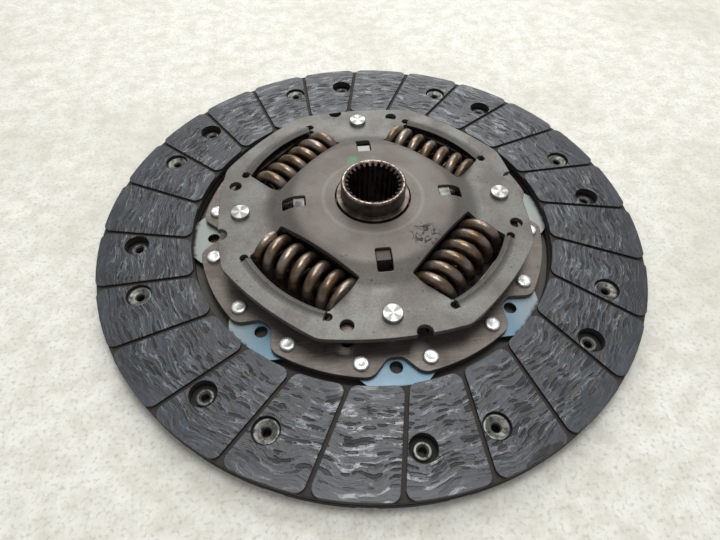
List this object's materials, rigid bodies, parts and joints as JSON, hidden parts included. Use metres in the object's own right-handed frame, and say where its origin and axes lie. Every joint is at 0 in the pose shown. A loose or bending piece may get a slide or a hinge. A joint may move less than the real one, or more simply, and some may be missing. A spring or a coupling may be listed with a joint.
{
  "type": "clutch disc",
  "caption": "Dry clutch disc with two grooved riveted friction facings on spring segments, a coil-spring torsional damper under a pressed cover plate, and a splined hub.",
  "frame": {"origin": "on the hub's axis, midway between the two friction faces", "axes": "+Z along the hub's axis towards the gearbox side, where the raised cover plate is; +X through one of the stop rivets"},
  "size_m": [0.228, 0.228, 0.0305],
  "materials": {
    "friction_lining": "matt, wound yarn in resin",
    "tempered_spring_steel": "blue-grey tempered, satin",
    "cover_steel": "phosphated, satin",
    "driver_steel": "phosphated, satin",
    "zinc_rivets": "bright zinc",
    "coil_spring_steel": "oil-tempered, shot-peened",
    "hub_steel": "dark, machined edges bright",
    "friction_ring_plastic": "matt",
    "washer_steel": "ground"
  },
  "bodies": {
    "disc": {"facing_gearbox_side": "friction_lining", "facing_engine_side": "friction_lining", "driver_plate": "driver_steel", "cover_plate": "cover_steel", "segment_rivets": "zinc_rivets", "facing_rivets_gearbox_side": "zinc_rivets", "facing_rivets_engine_side": "zinc_rivets", "stop_rivets": "zinc_rivets", "centring_bush": "friction_ring_plastic", "friction_ring": "friction_ring_plastic", "friction_washer": "friction_ring_plastic", "belleville_washer": "washer_steel", "thrust_washer": "washer_steel", "cushion_segment_1": "tempered_spring_steel", "cushion_segment_2": "tempered_spring_steel", "cushion_segment_3": "tempered_spring_steel", "cushion_segment_4": "tempered_spring_steel", "cushion_segment_5": "tempered_spring_steel", "cushion_segment_6": "tempered_spring_steel", "cushion_segment_7": "tempered_spring_steel", "cushion_segment_8": "tempered_spring_steel", "outer_spring_1": "coil_spring_steel", "inner_spring_1": "coil_spring_steel", "outer_spring_2": "coil_spring_steel", "inner_spring_2": "coil_spring_steel", "outer_spring_3": "coil_spring_steel", "inner_spring_3": "coil_spring_steel", "outer_spring_4": "coil_spring_steel", "inner_spring_4": "coil_spring_steel"},
    "hub_assembly": {"hub": "hub_steel", "hub_flange": "hub_steel"}
  },
  "joints": [
    {"name": "hub_twist", "type": "hinge", "parent": "disc", "child": "hub_assembly", "pos_m": [0, 0, 0], "axis": [0, 0, 1], "range_deg": [-7, 7], "stiffness_Nm_per_rad": 2500, "deforming": ["outer_spring_1", "inner_spring_1", "outer_spring_2", "inner_spring_2", "outer_spring_3", "inner_spring_3", "outer_spring_4", "inner_spring_4"]}
  ]
}
